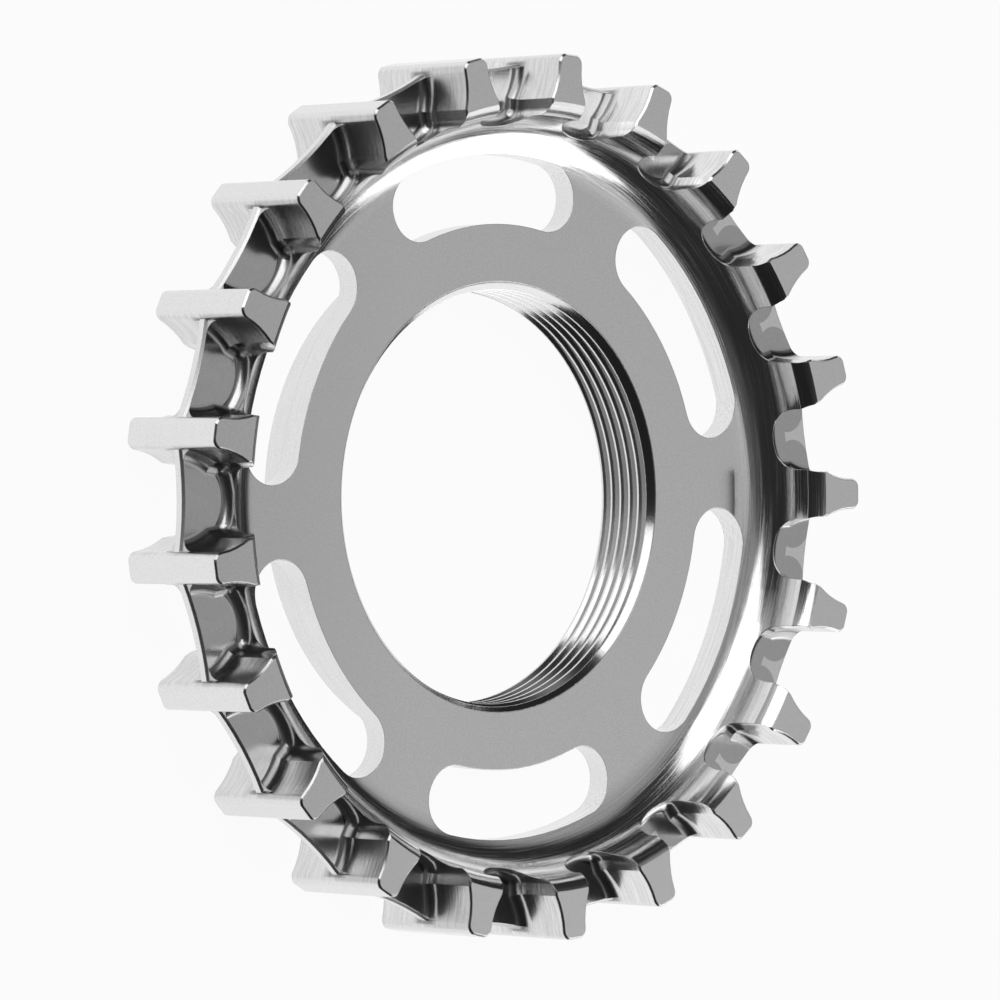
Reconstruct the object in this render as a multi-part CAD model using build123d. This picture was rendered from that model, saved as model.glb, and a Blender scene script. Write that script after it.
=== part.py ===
from build123d import *
import os
from math import acos, atan2, cos, hypot, pi, radians, sin

# A rear belt sprocket, turned and milled from one piece of stainless steel.
# It lies on its rear hub face: origin on the axis in that face, +Z out of the front.
# Tooth 0 points along +X. Lengths are millimetres, angles degrees.

# Belt and teeth
belt_pitch = 11.0
tooth_count = 21
tip_below_pitch_line = 0.69
tooth_depth = 5.92
tooth_width = 10.6
tooth_edge_break = 0.15

# Gap between two teeth: a rounded pocket between the teeth's straight roots, then flanks
# that flare to the tips
gap_width_at_tip = 8.12
gap_flank_arc_radius = 7.1
tooth_root_width = 3.79
gap_floor_arc_radius = 6.0
gap_pocket_corner_radius = 1.2
gap_corner_fillet = 1.05
tip_corner_radius = 0.8
tip_corner_overshoot = 0.03

# Centre flange that runs in the belt's groove
flange_thickness = 1.0
flange_edge_below_tip = 1.2
flange_edge_arc_radius = 27.0
flange_edge_break = 0.2

# Inside of the toothed ring: each rim falls off in an arc to a short bore, and a quarter
# round leads from there down to the web
rim_radius = 32.05
rim_edge_angle = 25.0
rim_arc_depth = 1.1
ring_bore_radius = 31.0
ring_bore_end_depth = 1.6

# Web and its kidney slots
web_thickness = 2.1
web_below_tooth_front = 5.72
slot_count = 6
slot_inner_radius = 22.3
slot_outer_radius = 28.0
slot_span = 33.3
slot_start_tooth = 2

# Hub boss and the bore for its 1.375 in thread
hub_thread_diameter = 34.93
bore_mouth_diameter = 35.2
bore_mouth_depth = 0.3
bore_rear_chamfer = 0.4
boss_diameter = 41.4
boss_behind_teeth = 1.15
boss_edge_break = 0.3
boss_root_fillet = 1.0

# How far cutting shapes run past what they cut
cut_past = 1.0

# Radii and heights that follow from the sizes above
pitch_radius = tooth_count * belt_pitch / (2 * pi)
tip_radius = pitch_radius - tip_below_pitch_line
gap_floor_radius = tip_radius - tooth_depth
tooth_angle = 360.0 / tooth_count
tooth_back_z = boss_behind_teeth
tooth_middle_z = tooth_back_z + tooth_width / 2
tooth_front_z = tooth_back_z + tooth_width
flange_front_z = tooth_middle_z + flange_thickness / 2
web_front_z = tooth_front_z - web_below_tooth_front
web_back_z = web_front_z - web_thickness


def polar_point(centre, radius, angle):
    """The point at a radius and an angle in radians from a centre."""
    return (centre[0] + radius * cos(angle), centre[1] + radius * sin(angle))


def arc_between(centre, radius, start, end):
    """A circular arc between two angles in radians."""
    middle = (start + end) / 2
    ends = [polar_point(centre, radius, angle) for angle in (start, middle, end)]
    return ThreePointArc(*ends)


def ring(profile):
    """Spins a closed profile of radius and height about the axis."""
    return revolve(Plane.XZ * make_face(profile), Axis.Z)


def dish(face_z, web_z):
    """Inside of the toothed ring on one side, from its rim to the web."""
    inward = 1 if web_z > face_z else -1
    rim = (rim_radius, face_z)
    bore_start = (ring_bore_radius, face_z + inward * rim_arc_depth)
    bore_end = (ring_bore_radius, face_z + inward * ring_bore_end_depth)
    foot = (ring_bore_radius - abs(web_z - bore_end[1]), web_z)
    slope = radians(rim_edge_angle)
    rim_arc = TangentArc(rim, bore_start, tangent=(-cos(slope), inward * sin(slope)))
    quarter_round = TangentArc(bore_end, foot, tangent=(0, inward))
    return Curve() + [rim_arc, Line(bore_start, bore_end), quarter_round]


def turned_blank():
    """Everything that is turned: hub boss, web, dishes and the plain toothed ring."""
    bore_radius = hub_thread_diameter / 2
    boss_radius = boss_diameter / 2
    front_dish = dish(tooth_front_z, web_front_z)
    rear_dish = dish(tooth_back_z, web_back_z)
    hub = FilletPolyline(
        front_dish @ 1,
        (bore_mouth_diameter / 2, web_front_z),
        (bore_radius, web_front_z - bore_mouth_depth),
        (bore_radius, bore_rear_chamfer),
        (bore_radius + bore_rear_chamfer, 0),
        (boss_radius - boss_edge_break, 0),
        (boss_radius, boss_edge_break),
        (boss_radius, web_back_z),
        rear_dish @ 1,
        radius=[0, 0, 0, 0, 0, 0, boss_root_fillet],
    )
    teeth = Polyline(
        front_dish @ 0,
        (tip_radius - tooth_edge_break, tooth_front_z),
        (tip_radius, tooth_front_z - tooth_edge_break),
        (tip_radius, tooth_back_z + tooth_edge_break),
        (tip_radius - tooth_edge_break, tooth_back_z),
        rear_dish @ 0,
    )
    return ring(Curve() + [front_dish, hub, rear_dish, teeth])


def gap_outline():
    """A gap's outline about +Y: pocket floor, pocket wall, flank and the tooth's rounded corner."""
    # Pocket: its wall runs parallel to the tooth's own centreline, and its corner arc
    # touches both the wall and the floor arc from within
    half_angle = radians(tooth_angle / 2)
    half_root = tooth_root_width / 2
    floor_centre = (0, gap_floor_radius + gap_floor_arc_radius)
    floor_to_wall = floor_centre[1] * sin(half_angle) - half_root
    inset = gap_floor_arc_radius - gap_pocket_corner_radius
    floor_end = -half_angle - acos((floor_to_wall - gap_pocket_corner_radius) / inset)
    pocket_centre = polar_point(floor_centre, inset, floor_end)
    floor = arc_between(floor_centre, gap_floor_arc_radius, -pi / 2, floor_end)
    pocket_corner = arc_between(pocket_centre, gap_pocket_corner_radius, floor_end, -half_angle)
    # Flank: centred level with the tips, from the pocket's wall outwards
    flank_centre = (gap_width_at_tip / 2 - gap_flank_arc_radius, tip_radius)
    to_centreline = flank_centre[1] * sin(half_angle) - flank_centre[0] * cos(half_angle)
    flank_to_wall = to_centreline - half_root
    flank_start = -half_angle - acos(flank_to_wall / gap_flank_arc_radius)
    # The corner's centre is inside the tooth, and its arc just crosses the tip circle
    reach = gap_flank_arc_radius + tip_corner_radius
    height = tip_radius - tip_corner_radius + tip_corner_overshoot
    distance = hypot(*flank_centre)
    swing = acos((distance**2 + reach**2 - height**2) / (2 * reach * distance))
    flank_end = swing + atan2(-flank_centre[0], flank_centre[1]) - pi / 2
    corner_centre = polar_point(flank_centre, reach, flank_end)
    flank = arc_between(flank_centre, gap_flank_arc_radius, flank_start, flank_end)
    tip_corner = arc_between(corner_centre, tip_corner_radius, flank_end + pi, pi / 2)
    wall = Line(pocket_corner @ 1, flank @ 0)
    top = tip_radius + cut_past
    lid = Polyline(tip_corner @ 1, (corner_centre[0], top), (0, top), floor @ 0)
    half = make_face(Curve() + [floor, pocket_corner, wall, flank, tip_corner, lid])
    return half + mirror(half, about=Plane.YZ)


def front_pocket(outline):
    """The gap in front of the flange: rounded into the flange, with its mouth's edge broken."""
    mouth_z = tooth_front_z + cut_past
    pocket = extrude(Pos(0, 0, flange_front_z) * outline, mouth_z - flange_front_z)
    bottom = pocket.faces().sort_by(Axis.Z)[0]
    pocket = fillet(bottom.edges().filter_by_position(Axis.Y, 0, tip_radius), gap_corner_fillet)
    mouth = Pos(0, 0, tooth_front_z - tooth_edge_break) * outline
    return pocket + extrude(mouth, 2 * tooth_edge_break, taper=-45)


def flange_edge_cut(outline):
    """The gap outside the flange, cut by a wheel shape that bevels the flange's two corners."""
    bottom_z = tooth_back_z - cut_past
    top_z = tooth_front_z + cut_past
    narrow = flange_edge_arc_radius
    wide = flange_edge_arc_radius + flange_edge_break
    half = flange_thickness / 2
    profile = [
        (0, bottom_z),
        (wide, bottom_z),
        (wide, tooth_middle_z - half),
        (narrow, tooth_middle_z - half + flange_edge_break),
        (narrow, tooth_middle_z + half - flange_edge_break),
        (wide, tooth_middle_z + half),
        (wide, top_z),
        (0, top_z),
    ]
    wheel = ring(Polyline(*profile, close=True))
    centre_y = tip_radius - flange_edge_below_tip + flange_edge_arc_radius
    gap = extrude(Pos(0, 0, bottom_z) * outline, top_z - bottom_z)
    return gap & Pos(0, centre_y, 0) * wheel


def tooth_gap():
    """Everything that is milled away between two teeth."""
    outline = gap_outline()
    front = front_pocket(outline)
    rear = mirror(front, about=Plane.XY.offset(tooth_middle_z))
    return front + rear + flange_edge_cut(outline)


def kidney_slot():
    """One slot through the web, centred on +X."""
    middle_radius = (slot_inner_radius + slot_outer_radius) / 2
    path = CenterArc((0, 0), middle_radius, -slot_span / 2, slot_span)
    shape = SlotArc(path, slot_outer_radius - slot_inner_radius)
    depth = web_front_z + cut_past
    return extrude(shape, depth)


def spun(shape, count, first_angle):
    """Copies of a shape, evenly spaced about the axis."""
    return [Rot(0, 0, first_angle + 360.0 * index / count) * shape for index in range(count)]


sprocket = turned_blank()
# The gap is drawn about +Y, and the first one lies half a tooth on from tooth 0
sprocket -= spun(tooth_gap(), tooth_count, tooth_angle / 2 - 90)
sprocket -= spun(kidney_slot(), slot_count, slot_start_tooth * tooth_angle)

os.makedirs("parts", exist_ok=True)
export_step(sprocket, "parts/sprocket.step")
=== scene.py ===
import bpy
from math import cos, pi, radians, sin, tan
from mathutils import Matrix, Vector


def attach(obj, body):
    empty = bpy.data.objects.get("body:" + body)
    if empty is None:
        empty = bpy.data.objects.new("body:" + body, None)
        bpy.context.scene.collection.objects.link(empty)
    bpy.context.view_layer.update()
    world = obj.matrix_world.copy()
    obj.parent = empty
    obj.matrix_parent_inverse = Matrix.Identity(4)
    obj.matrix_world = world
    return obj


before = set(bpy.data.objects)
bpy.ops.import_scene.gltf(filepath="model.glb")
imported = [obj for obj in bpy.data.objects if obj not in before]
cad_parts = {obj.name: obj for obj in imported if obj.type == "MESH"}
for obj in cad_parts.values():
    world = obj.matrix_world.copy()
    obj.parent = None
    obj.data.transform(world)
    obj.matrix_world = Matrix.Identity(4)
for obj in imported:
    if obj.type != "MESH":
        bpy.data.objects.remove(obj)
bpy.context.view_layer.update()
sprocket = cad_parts["sprocket"]
print("frame loaded")

mm = 0.001


# Small helpers for node trees

def addNode(tree, kind, inputs=None, **settings):
    made = tree.nodes.new(kind)
    for name, value in settings.items():
        setattr(made, name, value)
    for name, value in (inputs or {}).items():
        if isinstance(value, bpy.types.NodeSocket):
            tree.links.new(value, made.inputs[name])
        else:
            made.inputs[name].default_value = value
    return made


def maths(tree, operation, first, second=0.0, third=0.0):
    inputs = {0: first, 1: second, 2: third}
    return addNode(tree, "ShaderNodeMath", inputs, operation=operation).outputs[0]


def times(tree, product, *others):
    for other in others:
        product = maths(tree, "MULTIPLY", product, other)
    return product


def inverse(tree, value):
    return maths(tree, "SUBTRACT", 1, value)


def distance(tree, across, along):
    squares = maths(tree, "ADD", times(tree, across, across), times(tree, along, along))
    return maths(tree, "SQRT", squares)


# low below start, high above end, and an S or an even slope between
def ramp(tree, value, start, end, low=0.0, high=1.0, smooth=True):
    kind = "SMOOTHSTEP" if smooth else "LINEAR"
    inputs = {"Value": value, "From Min": start, "From Max": end, "To Min": low, "To Max": high}
    made = addNode(tree, "ShaderNodeMapRange", inputs, interpolation_type=kind)
    return made.outputs["Result"]


# low below a place and high above it, with a soft change there
def edge(tree, value, place, soft, low=0.0, high=1.0):
    return ramp(tree, value, place - soft / 2, place + soft / 2, low, high)


# 1 between start and end, with soft edges
def band(tree, value, start, end, soft):
    return times(tree, edge(tree, value, start, soft), edge(tree, value, end, soft, 1.0, 0.0))


def noise(tree, vector, scale, detail, roughness):
    inputs = {"Vector": vector, "Scale": scale, "Detail": detail, "Roughness": roughness}
    return addNode(tree, "ShaderNodeTexNoise", inputs).outputs["Fac"]


def mixValue(tree, factor, first, second):
    inputs = {"Factor": factor, "A": first, "B": second}
    return addNode(tree, "ShaderNodeMix", inputs, data_type="FLOAT").outputs["Result"]


# Camera at the photograph's place, up along +Y

camera = {
    "location": (-0.37856, 0.00400, 0.41139),
    "turn": (-0.1938, -43.0274, -0.3582),  # degrees about X, Y, Z
    "lens": 244.55,
    "sensor": 36.0,
    "clipStart": 0.01,
}


def placeCamera():
    lens = bpy.data.cameras.new("camera")
    lens.lens = camera["lens"]
    lens.sensor_width = camera["sensor"]
    lens.clip_start = camera["clipStart"]
    made = bpy.data.objects.new("camera", lens)
    made.location = camera["location"]
    made.rotation_euler = [radians(angle) for angle in camera["turn"]]
    bpy.context.scene.collection.objects.link(made)
    bpy.context.scene.camera = made


placeCamera()
bpy.context.scene.view_settings.view_transform = "Standard"
print("camera placed")


# Studio: two softboxes, a grey reflector overhead on +X, two dim panels on +Y, and a dark room on -X

studio = {
    "lampDistance": 0.7,
    "lampPower": 4.0,  # watts a square metre at a brightness of 1
    "lamps": {  # azimuth and elevation of the middle, width and height in degrees, brightness
        "softbox_low": (-39.5, 25, 41, 40, 1.4),
        "softbox_high": (118, 47, 44, 42, 1.4),
    },
    "panels": {  # from, to and softness of azimuth, the same of elevation, and the level
        "bridge": (50, 160, 20, 58, 84, 10, 0.34),
        "lowWall": (98, 150, 12, -5, 28, 8, 0.55),
    },
    "reflector": (-50, 65, 12, 34, 100, 12),
    "reflectorLevels": (0.79, 0.35),  # at the two ends of its azimuth
    "roomLevel": 0.032,
    "zenithLevel": 0.16,
    "zenithFrom": 55,
}


def addLamp(name, azimuth, elevation, width, height, brightness):
    away = studio["lampDistance"]
    lamp = bpy.data.lights.new(name, "AREA")
    lamp.shape = "RECTANGLE"
    lamp.size = 2 * away * tan(radians(width / 2))
    lamp.size_y = 2 * away * tan(radians(height / 2))
    lamp.energy = brightness * studio["lampPower"] * lamp.size * lamp.size_y
    made = bpy.data.objects.new(name, lamp)
    flat = away * cos(radians(elevation))
    rise = away * sin(radians(elevation))
    made.location = (flat * cos(radians(azimuth)), flat * sin(radians(azimuth)), rise)
    made.rotation_euler = Vector(made.location).to_track_quat("Z", "Y").to_euler()
    bpy.context.scene.collection.objects.link(made)


def panel(tree, azimuth, elevation, left, right, side, low, high, rise):
    wide = band(tree, azimuth, left, right, side)
    return times(tree, wide, band(tree, elevation, low, high, rise))


def makeRoom():
    world = bpy.data.worlds.new("studio")
    world.use_nodes = True
    bpy.context.scene.world = world
    tree = world.node_tree
    tree.nodes.clear()
    toSky = addNode(tree, "ShaderNodeTexCoord").outputs["Generated"]
    split = addNode(tree, "ShaderNodeSeparateXYZ", {0: toSky})
    azimuth = maths(tree, "DEGREES", maths(tree, "ARCTAN2", split.outputs["Y"], split.outputs["X"]))
    elevation = maths(tree, "DEGREES", maths(tree, "ARCSINE", split.outputs["Z"]))
    zenith = ramp(tree, elevation, studio["zenithFrom"], 90)
    level = mixValue(tree, zenith, studio["roomLevel"], studio["zenithLevel"])
    for *edges, brightness in studio["panels"].values():
        level = mixValue(tree, panel(tree, azimuth, elevation, *edges), level, brightness)
    left, right = studio["reflector"][:2]
    grey = ramp(tree, azimuth, left, right, *studio["reflectorLevels"], smooth=False)
    level = mixValue(tree, panel(tree, azimuth, elevation, *studio["reflector"]), level, grey)
    seen = addNode(tree, "ShaderNodeLightPath").outputs["Is Camera Ray"]
    level = mixValue(tree, seen, level, 1.0)
    shine = addNode(tree, "ShaderNodeBackground", {"Strength": level})
    addNode(tree, "ShaderNodeOutputWorld", {"Surface": shine.outputs[0]})


for name, numbers in studio["lamps"].items():
    addLamp(name, *numbers)
makeRoom()
print("studio lit")


# Floor: white to the eye and in reflections, and still darkened a little by the shadow

floor = {"size": 40.0, "height": -0.02, "white": 0.95, "glow": 0.94}


def makeFloor():
    bpy.ops.object.select_all(action="DESELECT")
    bpy.ops.mesh.primitive_plane_add(size=floor["size"], location=(0, 0, floor["height"] * mm))
    ground = bpy.context.object
    ground.name = "floor"
    material = bpy.data.materials.new("white_floor")
    material.use_nodes = True
    tree = material.node_tree
    tree.nodes.clear()
    white = (floor["white"],) * 3 + (1,)
    matt = addNode(tree, "ShaderNodeBsdfDiffuse", {"Color": white})
    glow = addNode(tree, "ShaderNodeEmission")
    path = addNode(tree, "ShaderNodeLightPath")
    seen = maths(tree, "MAXIMUM", path.outputs["Is Camera Ray"], path.outputs["Is Glossy Ray"])
    seen = maths(tree, "MAXIMUM", seen, path.outputs["Is Transmission Ray"])
    share = times(tree, seen, floor["glow"])
    mixed = addNode(tree, "ShaderNodeMixShader", {0: share, 1: matt.outputs[0], 2: glow.outputs[0]})
    addNode(tree, "ShaderNodeOutputMaterial", {"Surface": mixed.outputs[0]})
    ground.data.materials.append(material)


makeFloor()
print("floor laid")


# Stainless steel, turned on its faces and dishes and milled in its gaps, with painted shade and
# painted reflections in its colour

steel = {
    "colour": 0.78,
    "edgeRound": 0.09,  # millimetres, as all lengths here
    "edgeSamples": 4,
    # zones, by radius, height, and how far the metal faces away from the axis
    "teeth": 21,
    "flangeMiddle": 6.45,
    "flangeHalf": 0.5,
    "flangeSkin": 0.05,  # how near to the flange's height counts as on it
    "flangeFrom": 30.0,
    "flangeEdge": (0.52, 35.6),  # half its height, and its largest radius
    "edgeFacing": (0.5, 0.6),
    "breakHeight": 6.74,
    "landRadius": 36.0,
    "cornerRadius": 35.3,  # where the lands' rounded corners begin
    "cornerFacing": (0.5, 0.8),
    "dishRadii": (26.8, 32.1),
    "dishFacing": (-0.1, -0.02),
    "faceLevel": (0.97, 0.99),  # how level a flat face is
    "fineFade": 0.02,  # how softly the zones end
    "softFade": 0.1,
    "sweptFade": 0.12,
    "broadFade": 0.2,
    "rimFade": 0.4,
    # lines of the lathe and the cutter
    "turnedLines": 7.0,  # a millimetre, across the profile
    "turnedChange": 0.5,  # how little they change round the axis
    "turnedDepth": 0.008,
    "milledLines": 4.0,  # a millimetre, up the tooth
    "milledStretch": 0.08,  # along the lines
    "milledDepth": 0.015,
    "lineDetail": 4.0,
    "lineBreakup": 0.6,
    "calmLines": 0.2,  # share left on lands and in the slots
    # roughness
    "faceRoughness": 0.17,
    "gapRoughness": 0.22,
    "breakRoughness": 0.35,
    "turnedRoughness": (0.12, 0.25),
    "turnedSpread": (0.45, 0.65),  # part of the noise that spans it
    # shades, as shares of the colour: the metal's grain and lines, then painted shade and painted
    # reflections
    "grain": 9.0,
    "grainDetail": 2.0,
    "grainBreakup": 0.5,
    "grainDepth": 0.06,
    "grainSpread": (0.3, 0.7),
    "lineShade": 0.10,
    "lineSpread": (0.35, 0.65),
    "paintedShadeAcross": (-20, 15),  # from -X to +X, over which the gaps' painted shades change
    "paintedGapShade": (0.7, 1.0),  # painted shade in front of the flange, on -X and on +X
    # painted shade behind the flange, on -X and on +X
    "paintedRearShade": (0.9, 1.0),
    "paintedFaceShade": (0.84, 1.0),  # painted shade on the flat faces, likewise
    "faceAcross": (-36, -10),
    "paintedFootShade": 0.4,  # painted shade along the foot of each gap's side walls
    "footFacing": (0.2, 0.5),
    "footHeights": (0.5, 1.6),  # from the flange's middle
    "rimRadius": 30.8,
    "paintedRimShade": (1.0, 0.6),  # painted shade on the dish's rim, on -Y and on +Y
    "rimAcross": (-5, 10),
    "paintedFarRimShade": (0.1, 1.0),  # painted dark reflection on the rim, on -X
    "farRimAcross": (-26, -12),
    # the flange in each gap, with places across the gap and along it, and its painted reflections and
    # painted shade
    "sweepCentre": (2.25, 32.95),
    "sweepRadius": 1.9,
    "sweepStart": 32.4,
    "sweepInset": (-0.4, -0.2),
    # painted reflection in the swept zones, on -X and on +X
    "paintedSweptShade": (0.80, 0.70),
    # painted reflection between them, on -X and on +X
    "paintedLeftShade": (0.82, 1.08),
    "paintedFoot": (34.3, 3.3, 0.18),  # round end of the flat, with painted shade past it: its centre, radius and shade
}


# Place in millimetres, and which way the metal faces
def readSurface(tree):
    texture = addNode(tree, "ShaderNodeTexCoord")
    inputs = {0: texture.outputs["Object"], "Scale": 1 / mm}
    place = addNode(tree, "ShaderNodeVectorMath", inputs, operation="SCALE").outputs[0]
    x, y, z = addNode(tree, "ShaderNodeSeparateXYZ", {0: place}).outputs
    radius = distance(tree, x, y)
    normal = addNode(tree, "ShaderNodeSeparateXYZ", {0: texture.outputs["Normal"]}).outputs
    outward = maths(tree, "ADD", times(tree, normal["X"], x), times(tree, normal["Y"], y))
    onFace = ramp(tree, maths(tree, "ABSOLUTE", normal["Z"]), *steel["faceLevel"])
    return {
        "place": place,
        "x": x,
        "y": y,
        "z": z,
        "radius": radius,
        "azimuth": maths(tree, "ARCTAN2", y, x),
        "outward": maths(tree, "DIVIDE", outward, radius),
        "onFace": onFace,
        "offFace": inverse(tree, onFace),
    }


# What was turned, what was milled, and the flange's edge between them
def findZones(tree, at):
    radius, outward = at["radius"], at["outward"]
    inDish = band(tree, radius, *steel["dishRadii"], steel["softFade"])
    inDish = times(tree, inDish, at["offFace"], ramp(tree, outward, *steel["dishFacing"], 1.0, 0.0))
    onLand = edge(tree, radius, steel["landRadius"], steel["fineFade"])
    half, reach = steel["flangeEdge"]
    low, high = steel["flangeMiddle"] - half, steel["flangeMiddle"] + half
    onEdge = band(tree, at["z"], low, high, steel["fineFade"])
    onEdge = times(tree, onEdge, ramp(tree, outward, *steel["edgeFacing"]))
    onEdge = times(tree, onEdge, edge(tree, radius, reach, steel["softFade"], 1.0, 0.0))
    onCorner = edge(tree, radius, steel["cornerRadius"], steel["broadFade"])
    onCorner = times(tree, onCorner, ramp(tree, outward, *steel["cornerFacing"]))
    inGap = band(tree, radius, steel["flangeFrom"], steel["landRadius"], steel["softFade"])
    inGap = times(tree, inGap, at["offFace"], inverse(tree, inDish))
    inGap = times(tree, inGap, inverse(tree, onEdge), inverse(tree, onCorner))
    plain = inverse(tree, maths(tree, "MAXIMUM", inGap, inDish))
    calm = mixValue(tree, plain, 1.0, steel["calmLines"])
    return {
        "inDish": inDish,
        "inGap": inGap,
        "onEdge": onEdge,
        "isTurned": maths(tree, "MAXIMUM", inDish, onLand),
        "lineStrength": times(tree, at["offFace"], calm),
    }


# The lathe's lines run round the axis, and the cutter's run round each gap
def makeLines(tree, at):
    inputs = {"X": at["radius"], "Y": times(tree, at["azimuth"], steel["turnedChange"]), "Z": at["z"]}
    roundAxis = addNode(tree, "ShaderNodeCombineXYZ", inputs).outputs[0]
    inputs = {"Scale": (steel["milledStretch"], steel["milledStretch"], 1), "Vector": at["place"]}
    roundGap = addNode(tree, "ShaderNodeMapping", inputs).outputs[0]
    look = steel["lineDetail"], steel["lineBreakup"]
    return {
        "turned": noise(tree, roundAxis, steel["turnedLines"], *look),
        "milled": noise(tree, roundGap, steel["milledLines"], *look),
    }


def steelMarks(tree, at):
    inputs = {"Radius": steel["edgeRound"] * mm}
    rounded = addNode(tree, "ShaderNodeBevel", inputs, samples=steel["edgeSamples"])
    milled = times(tree, at["milled"], steel["milledDepth"])
    turned = times(tree, at["turned"], steel["turnedDepth"])
    inputs = {
        "Height": mixValue(tree, at["isTurned"], milled, turned),
        "Distance": mm,
        "Strength": at["lineStrength"],
        "Normal": rounded.outputs[0],
    }
    return addNode(tree, "ShaderNodeBump", inputs).outputs[0]


def steelRoughness(tree, at, gapRoughness):
    onBreak = times(tree, at["onEdge"], edge(tree, at["z"], steel["breakHeight"], steel["fineFade"]))
    roughness = mixValue(tree, onBreak, gapRoughness, steel["breakRoughness"])
    turned = ramp(tree, at["turned"], *steel["turnedSpread"], *steel["turnedRoughness"])
    roughness = mixValue(tree, at["isTurned"], roughness, turned)
    return mixValue(tree, at["onFace"], roughness, steel["faceRoughness"])


# Fine grain and lines of the metal, and painted shade and painted reflections on the faces, the
# flange, the gaps' walls and the rims
def steelShade(tree, at):
    grain = noise(tree, at["place"], steel["grain"], steel["grainDetail"], steel["grainBreakup"])
    depth = steel["grainDepth"]
    grain = ramp(tree, grain, *steel["grainSpread"], 1 - depth, 1 + depth, smooth=False)
    lines = mixValue(tree, at["isTurned"], at["milled"], at["turned"])
    depth = steel["lineShade"]
    lines = ramp(tree, lines, *steel["lineSpread"], 1 - depth, 1 + depth, smooth=False)
    lines = mixValue(tree, at["lineStrength"], 1.0, lines)
    # painted shade: the flat faces darker towards -X
    faces = ramp(tree, at["x"], *steel["faceAcross"], *steel["paintedFaceShade"], smooth=False)
    faces = mixValue(tree, at["onFace"], 1.0, faces)
    # painted reflections and painted shade on the flange, the gaps' walls and the rims
    zones = paintedFlangeShade(tree, at), paintedWallShade(tree, at), paintedRimShade(tree, at)
    return times(tree, grain, lines, faces, *zones, steel["colour"])


# The flange in each gap: painted reflections in two swept zones and in what they leave between them,
# changing from -X to +X, and painted shade past the round end of its flat
def paintedFlangeShade(tree, at):
    step = 2 * pi / steel["teeth"]
    turn = maths(tree, "FRACT", maths(tree, "DIVIDE", at["azimuth"], step))
    turn = times(tree, maths(tree, "SUBTRACT", turn, 0.5), step)
    across = maths(tree, "ABSOLUTE", times(tree, at["radius"], maths(tree, "SINE", turn)))
    along = times(tree, at["radius"], maths(tree, "COSINE", turn))
    middle, centre = steel["sweepCentre"]
    aside = maths(tree, "SUBTRACT", across, middle)
    toSweep = distance(tree, aside, maths(tree, "SUBTRACT", along, centre))
    left = edge(tree, toSweep, steel["sweepRadius"], steel["sweptFade"])
    left = times(tree, left, edge(tree, along, steel["sweepStart"], steel["softFade"]))
    left = times(tree, left, ramp(tree, aside, *steel["sweepInset"], 1.0, 0.0))
    swept = ramp(tree, at["x"], *steel["paintedShadeAcross"], *steel["paintedSweptShade"])
    kept = ramp(tree, at["x"], *steel["paintedShadeAcross"], *steel["paintedLeftShade"])
    shade = mixValue(tree, left, swept, kept)
    centre, reach, dark = steel["paintedFoot"]
    toPatch = distance(tree, across, maths(tree, "SUBTRACT", along, centre))
    shade = times(tree, shade, edge(tree, toPatch, reach, steel["sweptFade"], 1.0, dark))
    height, skin = steel["flangeMiddle"] + steel["flangeHalf"], steel["flangeSkin"]
    onFlange = band(tree, at["z"], height - skin, height + skin, steel["fineFade"])
    start = steel["flangeFrom"]
    pastRim = ramp(tree, at["radius"], start, start + steel["softFade"])
    onFlange = times(tree, onFlange, at["onFace"], pastRim)
    return mixValue(tree, onFlange, 1.0, shade)


# Walls of the gaps: painted shade, darker on -X and along the foot of their sides
def paintedWallShade(tree, at):
    fromMiddle = maths(tree, "ABSOLUTE", maths(tree, "SUBTRACT", at["z"], steel["flangeMiddle"]))
    foot = ramp(tree, at["outward"], *steel["footFacing"], steel["paintedFootShade"], 1.0)
    foot = mixValue(tree, ramp(tree, fromMiddle, *steel["footHeights"]), foot, 1.0)
    inFront = edge(tree, at["z"], steel["flangeMiddle"], steel["broadFade"])
    behind = ramp(tree, at["x"], *steel["paintedShadeAcross"], *steel["paintedRearShade"])
    front = ramp(tree, at["x"], *steel["paintedShadeAcross"], *steel["paintedGapShade"])
    shade = times(tree, foot, mixValue(tree, inFront, behind, front))
    return mixValue(tree, at["inGap"], 1.0, shade)


# The dish's rim: painted shade, darker on +Y, and a painted dark reflection on -X
def paintedRimShade(tree, at):
    onRim = times(tree, edge(tree, at["radius"], steel["rimRadius"], steel["rimFade"]), at["inDish"])
    shade = ramp(tree, at["x"], *steel["farRimAcross"], *steel["paintedFarRimShade"])
    shade = times(tree, shade, ramp(tree, at["y"], *steel["rimAcross"], *steel["paintedRimShade"]))
    return mixValue(tree, onRim, 1.0, shade)


def makeSteel(name, gapRoughness, paintedPieceShade=None):
    material = bpy.data.materials.new(name)
    material.use_nodes = True
    tree = material.node_tree
    tree.nodes.clear()
    at = readSurface(tree)
    at.update(findZones(tree, at))
    at.update(makeLines(tree, at))
    shade = steelShade(tree, at)
    # painted shade of one piece, such as the thread's flanks
    if paintedPieceShade:
        shade = times(tree, shade, paintedPieceShade(tree, at))
    inputs = {
        "Base Color": shade,
        "Metallic": 1.0,
        "Roughness": steelRoughness(tree, at, gapRoughness),
        "Normal": steelMarks(tree, at),
    }
    shader = addNode(tree, "ShaderNodeBsdfPrincipled", inputs)
    addNode(tree, "ShaderNodeOutputMaterial", {"Surface": shader.outputs[0]})
    return material


turnedSteel = makeSteel("turned_steel", steel["gapRoughness"])
for slot in sprocket.material_slots:
    slot.material = turnedSteel
print("steel finished")


# Thread in the hub's bore, as one ridge wound round it and countersunk at both mouths

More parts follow.
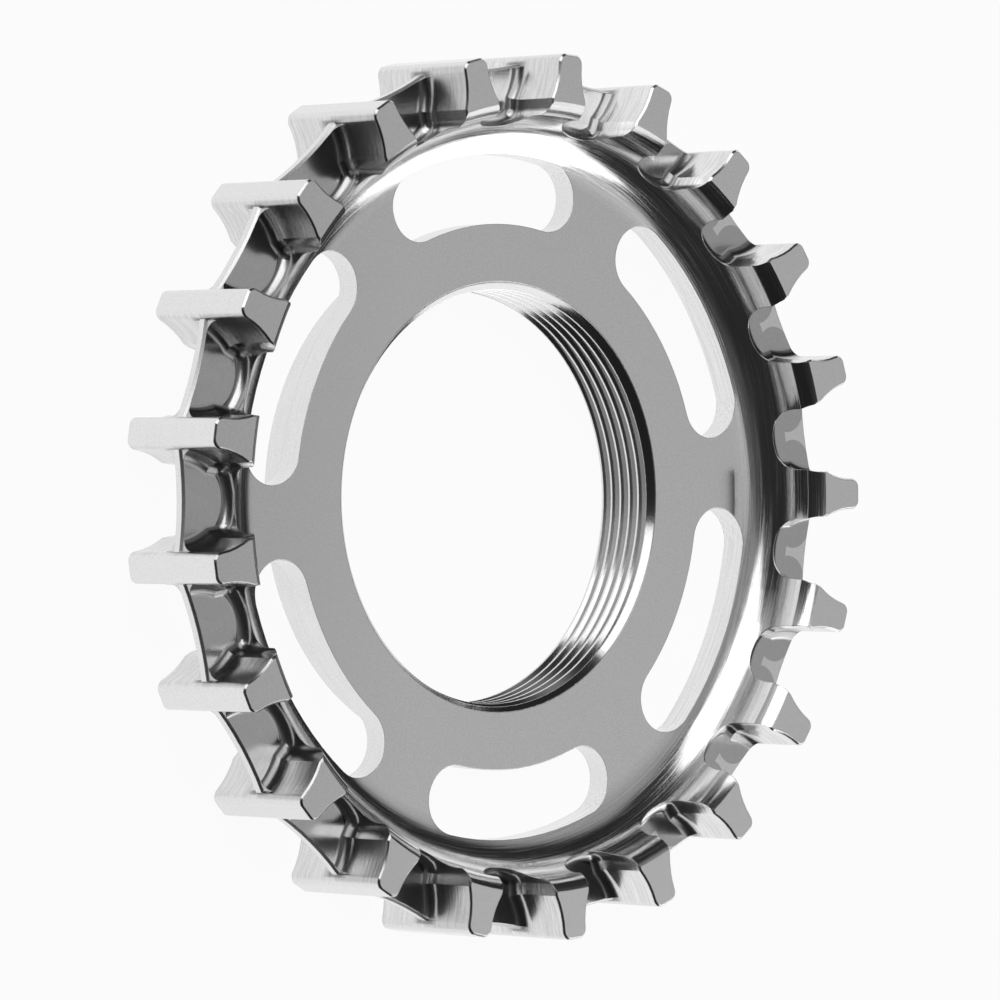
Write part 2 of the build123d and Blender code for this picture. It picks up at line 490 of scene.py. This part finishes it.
thread = {
    "pitch": 25.4 / 24,
    "wall": 34.93 / 2,
    "crest": 33.85 / 2,
    "baseWidth": 0.97,
    "crestWidth": 0.2,
    "intoWall": 0.13,
    "firstCrest": 5.62,
    "turns": 7,
    "stepsPerTurn": 120,
    "frontMouth": (17.6, 6.03, 1.29),  # each countersink's outer radius, height and slope
    "rearMouth": (17.865, 0.0, 4.7),
    "cutterReach": 1.5,
    "aroundCutter": 256,
    "mergeWithin": 0.001,
    "smoothAngle": 25,  # degrees
    "roughness": 0.12,
    "flankStart": (0.02, 0.06),  # from the crest
    "paintedFlankShade": (0.75, 0.58),  # painted shade on -Y and on +Y
    "flankAcross": (-5, 2),
}


# The thread's flanks: painted shade, darker towards +Y
def paintedFlankShade(tree, at):
    start, end = [thread["crest"] + inset for inset in thread["flankStart"]]
    shade = ramp(tree, at["y"], *thread["flankAcross"], *thread["paintedFlankShade"])
    return mixValue(tree, ramp(tree, at["radius"], start, end), 1.0, shade)


def cutMouth(ridge, mouth, outward):
    radius, height, slope = mouth
    deep = thread["cutterReach"]
    bpy.ops.object.select_all(action="DESELECT")
    radii = (radius - outward * slope * deep, radius + outward * slope * deep)
    bpy.ops.mesh.primitive_cone_add(
        vertices=thread["aroundCutter"], radius1=radii[0] * mm, radius2=radii[1] * mm,
        depth=2 * deep * mm, location=(0, 0, height * mm),
    )
    cutter = bpy.context.object
    bpy.ops.object.transform_apply()
    bpy.context.view_layer.objects.active = ridge
    cut = ridge.modifiers.new("countersink", "BOOLEAN")
    cut.operation = "DIFFERENCE"
    cut.object = cutter
    cut.solver = "EXACT"
    bpy.ops.object.modifier_apply(modifier=cut.name)
    bpy.data.objects.remove(cutter)


def makeThread():
    bpy.ops.object.select_all(action="DESELECT")
    start = thread["firstCrest"] + thread["pitch"]
    bpy.ops.mesh.primitive_plane_add(size=2 * mm, location=(0, 0, 0))
    ridge = bpy.context.object
    ridge.name = "hub_thread"
    base = thread["wall"] + thread["intoWall"]
    corners = {
        (-1, -1): (base, -thread["baseWidth"] / 2),
        (1, -1): (base, thread["baseWidth"] / 2),
        (1, 1): (thread["crest"], thread["crestWidth"] / 2),
        (-1, 1): (thread["crest"], -thread["crestWidth"] / 2),
    }
    for corner in ridge.data.vertices:
        radius, height = corners[round(corner.co.x / mm), round(corner.co.y / mm)]
        corner.co = (radius * mm, 0, (start + height) * mm)
    bpy.ops.object.mode_set(mode="EDIT")
    bpy.ops.mesh.select_all(action="SELECT")
    bpy.ops.mesh.delete(type="ONLY_FACE")
    bpy.ops.object.mode_set(mode="OBJECT")
    wind = ridge.modifiers.new("wind", "SCREW")
    wind.axis = "Z"
    wind.angle = radians(360)
    wind.iterations = thread["turns"]
    wind.screw_offset = -thread["pitch"] * mm
    wind.steps = thread["stepsPerTurn"]
    wind.render_steps = thread["stepsPerTurn"]
    bpy.ops.object.modifier_apply(modifier=wind.name)
    # close the two ends, then trim the ridge at both mouths
    bpy.ops.object.mode_set(mode="EDIT")
    bpy.ops.mesh.select_mode(type="EDGE")
    bpy.ops.mesh.select_all(action="SELECT")
    bpy.ops.mesh.remove_doubles(threshold=thread["mergeWithin"] * mm)
    bpy.ops.mesh.select_all(action="DESELECT")
    bpy.ops.mesh.select_non_manifold()
    bpy.ops.mesh.fill()
    bpy.ops.mesh.select_all(action="SELECT")
    bpy.ops.mesh.normals_make_consistent(inside=False)
    bpy.ops.object.mode_set(mode="OBJECT")
    cutMouth(ridge, thread["frontMouth"], 1)
    cutMouth(ridge, thread["rearMouth"], -1)
    ridge.select_set(True)
    bpy.ops.object.shade_smooth_by_angle(angle=radians(thread["smoothAngle"]))
    ridge.data.materials.clear()
    finish = makeSteel("thread_steel", thread["roughness"], paintedFlankShade)
    ridge.data.materials.append(finish)
    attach(ridge, "root")
    print("thread:", len(ridge.data.polygons), "faces")


makeThread()
print("thread cut")
